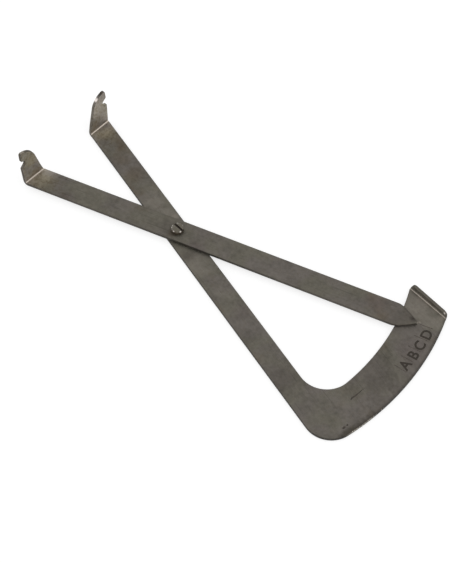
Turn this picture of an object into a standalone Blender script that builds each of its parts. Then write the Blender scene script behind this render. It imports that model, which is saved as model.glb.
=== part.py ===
"""Surgical caliper, a Blender 4.5 script in metres with +Z up.

Two arms, each cut and bent from one piece of steel sheet, cross on a slotted
pivot screw. The sector arm lies below and ends in a curved scale band with a
bent-up stop. The pointer arm lies on it and ends in a ground point that reads
the scale. At their other ends both arms are bent up into jaws with a hook.

The origin is on the pivot's axis, level with the underside of the lower arm.
+X halves the angle between the arms, on the side of the scale.
"""

import math

import bmesh
import bpy
from mathutils import Matrix, Vector

# Sheet, strip and fits.
SHEET = 0.0016
ARM_WIDTH = 0.0127
FIT_GAP = 0.0003
BEND_RADIUS = 0.0008
EDGE_ROUND = 0.00014

# Angle between the arms as the caliper lies, in degrees.
OPENING = 33.12

# Jaws, the tabs bent up at the hook ends. Heights are above the underside of the jaw's own sheet.
JAW_SKEW = 16.56
JAW_BASE_CORNER = 0.0032
JAW_WAIST_HEIGHT = 0.0070
JAW_WAIST_CORNER = 0.0080
JAW_SHOULDER_CORNER = 0.0105
JAW_CROWN_DROP = 0.0018
JAW_CROWN_CORNER = 0.0012
JAW_THROAT_CORNER = 0.0008
JAW_HOOK_CORNER = 0.0006

# The sector arm's jaw: its notch slants at the top. Its nose leans in from the arm's edge.
SECTOR_JAW_REACH = 0.0808
SECTOR_JAW_HEIGHT = 0.0252
SECTOR_WAIST_INSET = 0.0014
SECTOR_SHOULDER_INSET = 0.0056
SECTOR_NOSE_LENGTH = 0.0053
SECTOR_NOSE_OUT = 0.0001
SECTOR_CROWN_OUT = -0.0004
SECTOR_LIP_OUT = 0.0003
SECTOR_NOTCH_MOUTH = 0.0052
SECTOR_NOTCH_DEPTH = 0.0024
SECTOR_HOOK_SLANT = 0.0018
SECTOR_LIP_SLANT = 0.0003

# The pointer arm's jaw: its notch slants at the bottom. It stands a little out from the arm's edge.
POINTER_JAW_REACH = 0.0816
POINTER_JAW_HEIGHT = 0.0242
POINTER_WAIST_INSET = 0.0021
POINTER_SHOULDER_INSET = 0.0060
POINTER_NOSE_LENGTH = 0.0060
POINTER_NOSE_OUT = 0.0004
POINTER_CROWN_OUT = 0.0004
POINTER_LIP_OUT = 0.0006
POINTER_NOTCH_MOUTH = 0.0055
POINTER_NOTCH_DEPTH = 0.0018
POINTER_HOOK_SLANT = 0.0003
POINTER_LIP_SLANT = 0.0023

# Scale band at the end of the sector arm, with its stop.
BAND_OUTER_RADIUS = 0.1408
BAND_WIDTH = 0.0212
BAND_INNER_RADIUS = BAND_OUTER_RADIUS - BAND_WIDTH
OUTER_CORNER = 0.0136
INNER_CORNER = 0.0140
STOP_ANGLE = 38.83
STOP_SKEW = 28.53
STOP_HEIGHT = 0.0044
STOP_CORNER = 0.0026
STOP_FAR_DROP = 0.0007
STOP_FAR_INSET = 0.0021

# Ground point of the pointer arm, which ends over the scale, short of the band's outer edge.
POINTER_SETBACK = 0.0111
POINTER_REACH = BAND_OUTER_RADIUS - POINTER_SETBACK
POINTER_TAPER = 0.0104
POINTER_TIP_OFFSET = -0.00025
POINTER_SHOULDER_CORNER = 0.0090
POINTER_TIP_CORNER = 0.0008
POINTER_FACET_WIDTH = 0.0010
POINTER_FACET_DEPTH = 0.0005

# Pivot screw, whose lower end is riveted over flush in the sector arm.
SHANK_RADIUS = 0.0020
HEAD_RADIUS = 0.0032
HEAD_HEIGHT = 0.0019
HEAD_ROUND = 0.0005
RIVET_RADIUS = 0.0028
SLOT_WIDTH = 0.0009
SLOT_DEPTH = 0.0009
SLOT_TURN = -4.0

# Smoothness of round stretches, and how far cutters run past what they cut.
ARC_SAG = 0.000008
BEND_STEPS = 8
TURNED_STEPS = 48
EDGE_ROUND_STEPS = 2
SHARP_ANGLE = 35.0
WELD = 0.00003
STRETCH_SHARE = 0.96
CUT_MARGIN = 0.0010

STEEL_COLOUR = (0.235, 0.220, 0.195, 1.0)
SCREW_COLOUR = (0.275, 0.255, 0.220, 1.0)


def clear_scene():
    """Removes every object that the scene starts with."""
    for item in list(bpy.data.objects):
        bpy.data.objects.remove(item, do_unlink=True)


def polar(radius, degrees):
    """The point at a radius and an angle about the origin."""
    turn = math.radians(degrees)
    return Vector((radius * math.cos(turn), radius * math.sin(turn)))


def arc(centre, radius, start, end):
    """Points of an arc from one angle to another in degrees, both ends included."""
    step = math.degrees(2 * math.acos(1 - ARC_SAG / radius))
    count = max(1, math.ceil(abs(end - start) / step))
    return [centre + polar(radius, start + (end - start) * index / count) for index in range(count + 1)]


def half_angle(before, corner, after):
    """Half the angle between the two stretches that meet at a corner."""
    return (before - corner).angle(after - corner) / 2


def fillet(before, corner, after, reach):
    """Points of the arc that rounds one corner of a path, from a reach before it to the same reach after it."""
    entry = (before - corner).normalized()
    leave = (after - corner).normalized()
    half = half_angle(before, corner, after)
    radius = reach * math.tan(half)
    middle = (entry + leave).normalized()
    centre = corner + middle * radius / math.sin(half)
    start = corner + entry * reach - centre
    sweep = start.angle_signed(corner + leave * reach - centre)
    first = math.degrees(math.atan2(start.y, start.x))
    return arc(centre, radius, first, first - math.degrees(sweep))


def rounded_path(corners):
    """An open path through (point, radius) corners, each rounded to its radius or as far as its stretches allow."""
    places = [place for place, radius in corners]
    inner = range(1, len(corners) - 1)
    reaches = [0.0] * len(corners)
    for index in inner:
        reaches[index] = corners[index][1] / math.tan(half_angle(*places[index - 1:index + 2]))
    shares = []
    for index in range(len(corners) - 1):
        wanted = reaches[index] + reaches[index + 1]
        shares.append(min(1, STRETCH_SHARE * (places[index + 1] - places[index]).length / max(wanted, WELD)))
    points = [places[0]]
    for index in inner:
        points += fillet(*places[index - 1:index + 2], reaches[index] * min(shares[index - 1], shares[index]))
    return points + [places[-1]]


class Fold:
    """A straight fold across a flat blank: what lies beyond it is bent up square."""

    def __init__(self, middle, outward, along):
        self.middle = middle
        self.outward = outward
        self.along = along
        self.length = (BEND_RADIUS + SHEET / 2) * math.pi / 2

    def blank(self, across, height):
        """The flat place of a point that will stand at a height above the sheet's underside."""
        return self.at(across, self.length + height - SHEET - BEND_RADIUS)

    def at(self, across, distance):
        """The flat place of a point along the fold and out from it."""
        return self.middle + self.along * across + self.outward * distance

    def crossing(self, radius, sign):
        """Where the fold line meets a circle about the origin."""
        foot = self.middle.dot(self.along)
        offset = self.middle.dot(self.outward)
        return sign * math.sqrt(radius ** 2 - offset ** 2) - foot

    def split(self, body):
        """Cuts the blank into narrow strips where it will curve."""
        for step in range(BEND_STEPS + 1):
            line = self.at(0, self.length * step / BEND_STEPS)
            geometry = body.verts[:] + body.edges[:] + body.faces[:]
            bmesh.ops.bisect_plane(body, geom=geometry, plane_co=line.to_3d(), plane_no=self.outward.to_3d(), dist=1e-7)

    def bend(self, body):
        """Bends up everything beyond the fold line."""
        for vert in body.verts:
            flat = vert.co.to_2d() - self.middle
            distance = flat.dot(self.outward)
            if distance <= 0:
                continue
            radius = BEND_RADIUS + SHEET - vert.co.z
            turn = min(distance / self.length, 1) * math.pi / 2
            out = radius * math.sin(turn)
            rise = BEND_RADIUS + SHEET - radius * math.cos(turn) + max(distance - self.length, 0)
            place = self.at(flat.dot(self.along), out)
            vert.co = (place.x, place.y, rise)


def jaw_fold(reach, side):
    """The fold of a jaw; side is 1 where the hook points to +Y of the arm and -1 where it points to -Y."""
    turn = math.radians(JAW_SKEW)
    outward = Vector((-math.cos(turn), -side * math.sin(turn)))
    along = Vector((-math.sin(turn), side * math.cos(turn)))
    return Fold(Vector((-reach, 0)), outward, along)


def jaw_path(fold, side, height, insets, nose, notch):
    """The blank's edge round a jaw, from the arm's inner edge over the crown to its hook side.

    The insets of its waist and shoulder are taken from the arm's edge. The nose is
    given by its length and how far it stands out below and at the crown,
    the notch by its mouth, its depth, the slants above and below it, and how far its
    lip stands out.
    """
    base = ARM_WIDTH / 2 / math.cos(math.radians(JAW_SKEW))
    arm_edge = Vector((0, ARM_WIDTH / 2))
    waist, shoulder = insets
    nose_length, nose_out, crown_out = nose
    mouth, depth, hook_slant, lip_slant, lip_out = notch
    hook = height - nose_length
    lip = hook - mouth
    throat = base - depth
    corners = [
        (arm_edge * -side, 0),
        (fold.at(-base, 0), JAW_BASE_CORNER),
        (fold.blank(waist - base, JAW_WAIST_HEIGHT), JAW_WAIST_CORNER),
        (fold.blank(shoulder - base, height - JAW_CROWN_DROP), JAW_SHOULDER_CORNER),
        (fold.blank(base + crown_out, height), JAW_CROWN_CORNER),
        (fold.blank(base + nose_out, hook), JAW_HOOK_CORNER),
        (fold.blank(throat, hook - hook_slant), JAW_THROAT_CORNER),
        (fold.blank(throat, lip + lip_slant), JAW_THROAT_CORNER),
        (fold.blank(base + lip_out, lip), JAW_HOOK_CORNER),
        (fold.at(base, 0), JAW_BASE_CORNER),
        (arm_edge * side, 0),
    ]
    return rounded_path(corners)[1:-1]


def folded_sheet(outline, folds):
    """A closed body of the sheet's thickness with this outline, bent at the folds."""
    body = bmesh.new()
    verts = [body.verts.new(point.to_3d()) for point in outline]
    body.faces.new(verts)
    for fold in folds:
        fold.split(body)
    bmesh.ops.remove_doubles(body, verts=body.verts[:], dist=WELD)
    raised = bmesh.ops.extrude_face_region(body, geom=body.faces[:])["geom"]
    lifted = [item for item in raised if isinstance(item, bmesh.types.BMVert)]
    bmesh.ops.translate(body, verts=lifted, vec=(0, 0, SHEET))
    return body


def grind_facet(body, shoulder, tip):
    """Grinds one slanting facet along the top edge of the point, between the shoulder and the tip."""
    edge = (tip - shoulder).normalized()
    outside = Vector((edge.y, -edge.x))
    if outside.dot(shoulder) < 0:
        outside = -outside
    top_line = tip - outside * POINTER_FACET_WIDTH
    slope = (outside * POINTER_FACET_DEPTH).to_3d() + Vector((0, 0, POINTER_FACET_WIDTH))
    geometry = body.verts[:] + body.edges[:] + body.faces[:]
    start = Vector((top_line.x, top_line.y, SHEET))
    bmesh.ops.bisect_plane(body, geom=geometry, plane_co=start, plane_no=slope, clear_outer=True, dist=1e-7)
    bmesh.ops.holes_fill(body, edges=[edge for edge in body.edges if edge.is_boundary], sides=0)


def steel(name, colour, roughness):
    """A plain metal material."""
    material = bpy.data.materials.new(name)
    material.use_nodes = True
    shader = material.node_tree.nodes["Principled BSDF"]
    shader.inputs["Base Color"].default_value = colour
    shader.inputs["Metallic"].default_value = 1.0
    shader.inputs["Roughness"].default_value = roughness
    return material


def make_object(name, body, material):
    """Turns a finished body into a named object."""
    bmesh.ops.recalc_face_normals(body, faces=body.faces[:])
    mesh = bpy.data.meshes.new(name)
    body.to_mesh(mesh)
    body.free()
    mesh.materials.append(material)
    item = bpy.data.objects.new(name, mesh)
    bpy.context.scene.collection.objects.link(item)
    return item


def turned_body(profile):
    """A closed body turned about the Z axis from (radius, height) points that begin and end on the axis."""
    body = bmesh.new()
    verts = [body.verts.new((radius, 0, height)) for radius, height in profile]
    edges = [body.edges.new(pair) for pair in zip(verts, verts[1:])]
    bmesh.ops.spin(
        body,
        geom=verts + edges,
        axis=(0, 0, 1),
        angle=2 * math.pi,
        steps=TURNED_STEPS,
    )
    bmesh.ops.remove_doubles(body, verts=body.verts[:], dist=1e-6)
    return body


def cut_away(item, name, body):
    """Cuts a body out of an object."""
    cutter = make_object(name, body, item.data.materials[0])
    cutter.hide_render = True
    cutter.display_type = "WIRE"
    cutter.parent = item.parent
    modifier = item.modifiers.new(name, "BOOLEAN")
    modifier.operation = "DIFFERENCE"
    modifier.solver = "EXACT"
    modifier.object = cutter


def round_edges(item):
    """Takes the sharpness off every edge, as on a deburred and polished piece."""
    modifier = item.modifiers.new("rounded_edges", "BEVEL")
    modifier.width = EDGE_ROUND
    modifier.segments = EDGE_ROUND_STEPS
    modifier.use_clamp_overlap = False
    modifier.limit_method = "ANGLE"
    modifier.angle_limit = math.radians(SHARP_ANGLE)
    item.data.shade_smooth()
    item.data.set_sharp_from_angle(angle=math.radians(SHARP_ANGLE))


def hole_body(low, high):
    """The clearance hole round the screw's shank, between two heights."""
    radius = SHANK_RADIUS + FIT_GAP
    return turned_body([(0, low), (radius, low), (radius, high), (0, high)])


def sector_hole_body():
    """The sector arm's hole, sunk from below for the riveted end of the screw."""
    slack = FIT_GAP * math.sqrt(2)
    radius = SHANK_RADIUS + FIT_GAP
    mouth = RIVET_RADIUS + slack
    wide = mouth + CUT_MARGIN
    return turned_body([
        (0, -CUT_MARGIN),
        (wide, -CUT_MARGIN),
        (radius, mouth - radius),
        (radius, SHEET + CUT_MARGIN),
        (0, SHEET + CUT_MARGIN),
    ])


def stop_fold():
    """The fold of the stop across the end of the scale band."""
    middle = polar((BAND_INNER_RADIUS + BAND_OUTER_RADIUS) / 2, STOP_ANGLE)
    along = polar(1, STOP_ANGLE - STOP_SKEW)
    outward = Vector((-along.y, along.x))
    return Fold(middle, outward, along)


def corner_centre(band_radius, edge, radius):
    """Centre of the arc that joins the arm's straight edge to an arc of the band."""
    height = edge + radius
    return Vector((math.sqrt((band_radius - radius) ** 2 - height ** 2), height))


def heading(point):
    """The angle of a point about the origin, in degrees."""
    return math.degrees(math.atan2(point.y, point.x))


def sector_outline(jaw, stop):
    """The flat blank of the sector arm, in its own frame with the arm along +X."""
    inner = corner_centre(BAND_INNER_RADIUS, ARM_WIDTH / 2, INNER_CORNER)
    outer = corner_centre(BAND_OUTER_RADIUS, -ARM_WIDTH / 2, OUTER_CORNER)
    near = stop.crossing(BAND_INNER_RADIUS, 1)
    far = stop.crossing(BAND_OUTER_RADIUS, 1)
    stop_path = rounded_path([
        (stop.at(near, 0), 0),
        (stop.blank(near, STOP_HEIGHT), STOP_CORNER),
        (stop.blank(far - STOP_FAR_INSET, STOP_HEIGHT - STOP_FAR_DROP), STOP_CORNER),
        (stop.at(far, 0), 0),
    ])
    origin = Vector((0, 0))
    points = arc(inner, INNER_CORNER, -90, heading(inner))
    points += arc(origin, BAND_INNER_RADIUS, heading(inner), heading(stop_path[0]))[1:-1]
    points += stop_path
    points += arc(origin, BAND_OUTER_RADIUS, heading(stop_path[-1]), heading(outer))[1:-1]
    points += arc(outer, OUTER_CORNER, heading(outer), -90)
    insets = (SECTOR_WAIST_INSET, SECTOR_SHOULDER_INSET)
    nose = (SECTOR_NOSE_LENGTH, SECTOR_NOSE_OUT, SECTOR_CROWN_OUT)
    notch = (SECTOR_NOTCH_MOUTH, SECTOR_NOTCH_DEPTH, SECTOR_HOOK_SLANT, SECTOR_LIP_SLANT, SECTOR_LIP_OUT)
    return points + jaw_path(jaw, 1, SECTOR_JAW_HEIGHT, insets, nose, notch)


def arm_frame(name, turn):
    """An empty on the pivot's axis that carries one arm, turned to the arm's heading."""
    frame = bpy.data.objects.new(name, None)
    frame.rotation_euler.z = math.radians(turn)
    bpy.context.scene.collection.objects.link(frame)
    return frame


def make_sector_arm(material):
    """The lower arm: jaw, shaft, scale band and stop, from one piece of sheet."""
    jaw = jaw_fold(SECTOR_JAW_REACH, 1)
    stop = stop_fold()
    body = folded_sheet(sector_outline(jaw, stop), [jaw, stop])
    jaw.bend(body)
    stop.bend(body)
    item = make_object("sector_arm", body, material)
    item.parent = arm_frame("sector_arm_frame", -OPENING / 2)
    cut_away(item, "sector_hole_cutter", sector_hole_body())
    round_edges(item)


def pointer_outline(jaw):
    """The flat blank of the pointer arm, in its own frame with the arm along +X."""
    edge = ARM_WIDTH / 2
    shoulder = POINTER_REACH - POINTER_TAPER
    point_path = rounded_path([
        (Vector((0, -edge)), 0),
        (Vector((shoulder, -edge)), POINTER_SHOULDER_CORNER),
        (Vector((POINTER_REACH, POINTER_TIP_OFFSET)), POINTER_TIP_CORNER),
        (Vector((shoulder, edge)), POINTER_SHOULDER_CORNER),
        (Vector((0, edge)), 0),
    ])
    insets = (POINTER_WAIST_INSET, POINTER_SHOULDER_INSET)
    nose = (POINTER_NOSE_LENGTH, POINTER_NOSE_OUT, POINTER_CROWN_OUT)
    notch = (POINTER_NOTCH_MOUTH, POINTER_NOTCH_DEPTH, POINTER_HOOK_SLANT, POINTER_LIP_SLANT, POINTER_LIP_OUT)
    return point_path[1:-1] + jaw_path(jaw, -1, POINTER_JAW_HEIGHT, insets, nose, notch)


def make_pointer_arm(material):
    """The upper arm: jaw, shaft and ground point, from one piece of sheet."""
    jaw = jaw_fold(POINTER_JAW_REACH, -1)
    body = folded_sheet(pointer_outline(jaw), [jaw])
    tip = Vector((POINTER_REACH, POINTER_TIP_OFFSET))
    for edge in (-ARM_WIDTH / 2, ARM_WIDTH / 2):
        grind_facet(body, Vector((POINTER_REACH - POINTER_TAPER, edge)), tip)
    jaw.bend(body)
    item = make_object("pointer_arm", body, material)
    item.parent = arm_frame("pointer_arm_frame", OPENING / 2)
    item.parent.location.z = SHEET + FIT_GAP
    cut_away(item, "pointer_hole_cutter", hole_body(-CUT_MARGIN, SHEET + CUT_MARGIN))
    round_edges(item)


def make_pivot_screw(material):
    """The screw that holds the arms: riveted end, shank and slotted head."""
    seat = 2 * SHEET + 2 * FIT_GAP
    top = seat + HEAD_HEIGHT
    rim = arc(Vector((HEAD_RADIUS - HEAD_ROUND, top - HEAD_ROUND)), HEAD_ROUND, 0, 90)
    profile = [(0, 0), (RIVET_RADIUS, 0), (SHANK_RADIUS, RIVET_RADIUS - SHANK_RADIUS), (SHANK_RADIUS, seat)]
    profile += [(HEAD_RADIUS, seat)] + [(point.x, point.y) for point in rim] + [(0, top)]
    item = make_object("pivot_screw", turned_body(profile), material)
    item.data.shade_smooth()
    item.data.set_sharp_from_angle(angle=math.radians(SHARP_ANGLE))
    slot = bmesh.new()
    bmesh.ops.create_cube(slot, size=1)
    length = 2 * HEAD_RADIUS + 2 * CUT_MARGIN
    height = SLOT_DEPTH + CUT_MARGIN
    place = Matrix.Rotation(math.radians(SLOT_TURN), 4, "Z")
    place @= Matrix.Translation((0, 0, top - SLOT_DEPTH + height / 2))
    place @= Matrix.Diagonal((length, SLOT_WIDTH, height, 1))
    bmesh.ops.transform(slot, matrix=place, verts=slot.verts[:])
    cut_away(item, "slot_cutter", slot)


def main():
    clear_scene()
    sector_steel = steel("sector_steel", STEEL_COLOUR, 0.42)
    make_sector_arm(sector_steel)
    make_pointer_arm(steel("pointer_steel", STEEL_COLOUR, 0.42))
    make_pivot_screw(steel("screw_steel", SCREW_COLOUR, 0.30))


main()
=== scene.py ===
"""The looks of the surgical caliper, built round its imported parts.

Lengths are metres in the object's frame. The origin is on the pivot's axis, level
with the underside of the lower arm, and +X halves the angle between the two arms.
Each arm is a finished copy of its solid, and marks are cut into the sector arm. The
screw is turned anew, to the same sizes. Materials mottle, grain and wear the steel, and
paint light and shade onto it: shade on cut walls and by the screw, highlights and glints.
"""

import math
from collections import namedtuple

import bmesh
import bpy
from mathutils import Matrix, Vector


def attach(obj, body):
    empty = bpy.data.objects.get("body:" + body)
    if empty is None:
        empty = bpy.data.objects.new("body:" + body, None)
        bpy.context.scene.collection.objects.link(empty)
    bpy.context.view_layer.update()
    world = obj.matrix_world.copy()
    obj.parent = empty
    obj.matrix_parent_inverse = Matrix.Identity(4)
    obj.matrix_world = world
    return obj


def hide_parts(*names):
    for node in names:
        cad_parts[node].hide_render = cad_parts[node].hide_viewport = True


MM = 0.001

# The sheet and the pivot screw, as in the part's source.
SHEET = 0.0016
POINTER_LEVEL = 0.0019
HALF_OPENING = 16.56
BAND_RADIUS = 0.1408
BEND_RADIUS = 0.0008
HEAD_RADIUS = 0.0032
HEAD_SEAT = 0.0038
HEAD_TOP = 0.0057
SHANK_RADIUS = 0.0020
RIVET_RADIUS = 0.0028

# The screw's rounded rim, low dome, bevelled foot and slot, which is off the middle.
HEAD_ROUNDING = 0.00045
HEAD_DOME = 0.00012
HEAD_BEVEL = 0.00012
HEAD_STEPS = 8
SCREW_SIDES = 96
SLOT_TURN = -4.0
SLOT_OFFSET = 0.00055
SLOT_WIDTH = 0.00115
SLOT_DEPTH = 0.0009

# Folds of the sheet: a point on the line where the sheet starts to bend up, the way it bends
# (degrees), half its length, the level of the sheet's underside, the strength of its painted highlight
# along most of it and at its bright end, and how far round the bend (degrees) the highlight is strongest.
Fold = namedtuple("Fold", "middle degrees half level shine end_shine brightest")
SECTOR_JAW_FOLD = Fold(Vector((-0.07745, 0.02303)), 180.0, 0.0067, 0.0, 1.0, 1.0, 45.0)
POINTER_JAW_FOLD = Fold(Vector((-0.07822, -0.02326)), 180.0, 0.0067, POINTER_LEVEL, 1.0, 1.0, 45.0)
STOP_FOLD = Fold(Vector((0.12049, 0.04934)), 83.74, 0.0128, 0.0, 0.80, 0.85, 20.0)
# How far past a fold's line the sheet counts as bent.
PAST_FOLD = 0.00002
# How far a point in the hollow may lie off the bend's circle, and outside its quarter.
CIRCLE_SLACK = 0.00005
QUARTER_SLACK = 0.00001
# Where the painted highlight's bright end starts, as a share of the fold's half length, and how soon it is
# full.
BRIGHT_FROM = 0.5
BRIGHT_SPAN = 0.4

# How squarely a face looks away from the sheet, from 0 to 1: a broad side more than this, and the
# faces ground on the point between these. In a bend, cut walls look along the fold more than this.
BROAD_SLANT = 0.93
FACET_SLANT = (0.85, 0.921)
BEND_WALL_SLANT = 0.37
# How much painted shade darkens cut walls, by the part of the sheet, and the least of it that takes wall
# stains.
WALL_SHADE_SHARES = {"flat": 1.0, "bend": 0.5, "tab": 0.06}
WALL_FROM = 0.05
# Edges that turn by more degrees than this stay sharp.
ARM_CORNER = 50
SCREW_CORNER = 40

# Scale letters, by angle and radius, with their tops towards the pivot.
LETTERS = (("A", 6.20, 0.1343), ("B", 9.11, 0.1348), ("C", 11.82, 0.1350), ("D", 14.90, 0.1353))
LETTER_HEIGHT = 0.00535
LETTER_DEPTH = 0.00012
LETTER_WEIGHT = 0.022
# Scribed lines, in degrees; the step between them grows.
TICK_COUNT = 5
TICK_FIRST = 4.9
TICK_STEP = 2.75
TICK_GROWTH = 0.0528
TICK_INNER = 0.1302
TICK_OUTER = 0.1368
TICK_WIDTH = 0.00042

# Chips along the band's rim: their angles, how far out and how far down they lie, and their sizes.
CHIP_COUNT = 34
CHIP_FROM = -12.8
CHIP_TO = -4.2
CHIP_REACH = (-0.02 * MM, 0.16 * MM)
CHIP_DROP = (-0.10 * MM, 0.75 * MM)
CHIP_SMALLEST = 0.10 * MM
CHIP_LARGEST = 0.34 * MM
CHIP_TURNS = (3.1, 3.1, 3.1)
CHIP_SEED = 4
# A gouge, as points along it and its width there.
SCRATCH = (
    (Vector((0.12636, -0.01744)), 0.00060),
    (Vector((0.12617, -0.01609)), 0.00085),
    (Vector((0.12653, -0.01454)), 0.00070),
    (Vector((0.12677, -0.01238)), 0.00060),
    (Vector((0.12697, -0.00980)), 0.00045),
    (Vector((0.12723, -0.00826)), 0.00020),
)
SCRATCH_DEPTH = 0.00010
# Dents: centre, half length, half width and turn in degrees.
DENTS = (
    (Vector((0.1333, -0.0310)), 0.00095, 0.00055, 80.0),
    (Vector((0.1336, -0.0289)), 0.00055, 0.00040, 80.0),
    (Vector((0.1309, -0.0313)), 0.00040, 0.00030, 0.0),
)
DENT_DEPTH = 0.00009

# Camera and light. Each lamp has an azimuth, an elevation, a distance, a width, a height and a power.
LENS = 92.27
TARGET = Vector((0.03719, -0.00573, 0.0))
CAMERA_DISTANCE = 0.7125
CAMERA_AZIMUTH = -48.15
CAMERA_ELEVATION = 55.22
WORLD_LEVEL = 0.85
LAMPS = (
    ("right_lamp", 27.3, 22.4, 0.80, 0.34, 0.22, 0.55),
    ("left_lamp", -123.6, 22.4, 0.80, 0.34, 0.22, 0.55),
)
# The table: its tone as it lights the object, and its tone and glow as the camera sees it.
FLOOR_SIZE = 30.0
FLOOR_DROP = 0.00004
FLOOR_TONE = (0.80, 0.80, 0.80, 1.0)
FLOOR_SEEN = (0.36, 0.36, 0.36, 1.0)
FLOOR_GLOW = 0.72
WHITE = (1.0, 1.0, 1.0, 1.0)

STEEL_OLIVE = (0.133, 0.124, 0.102, 1.0)
STEEL_GREY = (0.136, 0.123, 0.110, 1.0)
STEEL_BROWN = (0.114, 0.093, 0.069, 1.0)
STEEL_ROSE = (0.124, 0.106, 0.099, 1.0)
# Pale steel; on some cut walls it is painted light.
STEEL_PALE_AND_LIT = (0.182, 0.166, 0.142, 1.0)
STEEL_DULL = (0.092, 0.082, 0.071, 1.0)
STEEL_KHAKI = (0.163, 0.143, 0.101, 1.0)
STEEL_FLECK = (0.085, 0.066, 0.042, 1.0)
# Painted shade: the contact shadow by the screw and the dark side of its head.
STEEL_CONTACT_SHADE = (0.062, 0.047, 0.032, 1.0)
# Painted shade along the rim of the band.
STEEL_RIM_SHADE = (0.056, 0.051, 0.041, 1.0)
# A painted dark reflection.
STEEL_DARK_REFLECTION = (0.007, 0.006, 0.006, 1.0)
STEEL_GROUND = (0.170, 0.150, 0.128, 1.0)
# Scraped steel; along the stop's fold it is painted light.
STEEL_SCRAPED_AND_LIT = (0.300, 0.264, 0.224, 1.0)
# A painted dark reflection in a ground facet.
STEEL_FACET_REFLECTION = (0.045, 0.038, 0.033, 1.0)
# Painted glints and highlights.
STEEL_GLINT = (0.800, 0.730, 0.690, 1.0)
STEEL_HIGHLIGHT = (0.950, 0.890, 0.840, 1.0)
SCREW_TONE = (0.128, 0.115, 0.092, 1.0)
# The painted highlight in the hollows of the folds.
FOLD_HIGHLIGHT = (0.458, 0.405, 0.352, 1.0)
# The bottoms of the cuts; in the slot it is painted shade.
LETTER_TONE = (0.030, 0.023, 0.015)
TICK_TONE = (0.095, 0.081, 0.070)
GOUGE_TONE = (0.055, 0.046, 0.038)
SLOT_SHADE_TONE = (0.034, 0.025, 0.017)
BARE_TONE = (0.62, 0.58, 0.52)

# Painted light: the steel is made lighter on the jaws' inner faces and beside their bends.
JAW_LIGHT_FROM = -0.0680
JAW_LIGHT_TO = -0.0775
JAW_LIGHT_GAIN = 1.3
# How strongly fine mottling and brush lines lighten and darken the steel.
MOTTLING = 0.65
BRUSHING = 0.35
# Brown flecks lie thinly all over, and thickly by the jaws' bends.
FLECKS = 0.12
FLECKS_THICK = 0.48
FLECKS_FROM = -0.0560
FLECKS_TO = -0.0720
# Painted shade: cut walls are darker than the sheet's broad sides, and so is the rim of the band's broad
# side.
WALL_SHADE = 0.42
WALL_METALLIC_LOSS = 0.35
RIM_FROM = 0.1392
RIM_TO = 0.1404
RIM_SHADE = 0.66
# How far a fold's weight has to go before its painted highlight shows, and where it is full.
SHINE_FROM = 0.20
SHINE_TO = 0.90
# Roughness of plain steel, what mottling and brush lines add, what walls and folds lose, its limits.
ROUGHNESS = 0.50
ROUGH_MOTTLING = 0.30
ROUGH_BRUSHING = 0.12
POLISH = 0.10
ROUGH_LEAST = 0.16
ROUGH_MOST = 0.75
# Metal look of the plain steel and of the folds under their painted highlight, its reflections, and its
# bumps.
METALLIC = (0.60, 0.95)
EDGE_TINT = (0.25, 0.23, 0.20, 1.0)
SPECULAR_LEVEL = 0.15
LINE_DEPTH = 0.6
BUMP_STRENGTH = 0.25
BUMP_HEIGHT = 0.03 * MM

# The rim of the screw's head, by radius and height, and where the painted shade on its side ends below it.
SCREW_RIM_RADII = (0.0024, 0.0029)
SCREW_RIM_HEIGHTS = (0.0048, 0.0052)
SIDE_FROM = 0.0049
SIDE_TO = 0.0053
SIDE_METALLIC = 0.15
# Marks that turning left on the screw.
RING_SPACING = 0.16 * MM
RING_STRENGTH = 0.12
RING_HEIGHT = 0.01 * MM

# A stain is full up to the first of these shares of its radius, and gone from the second.
STAIN_EDGE = (0.10, 1.20)
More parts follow.
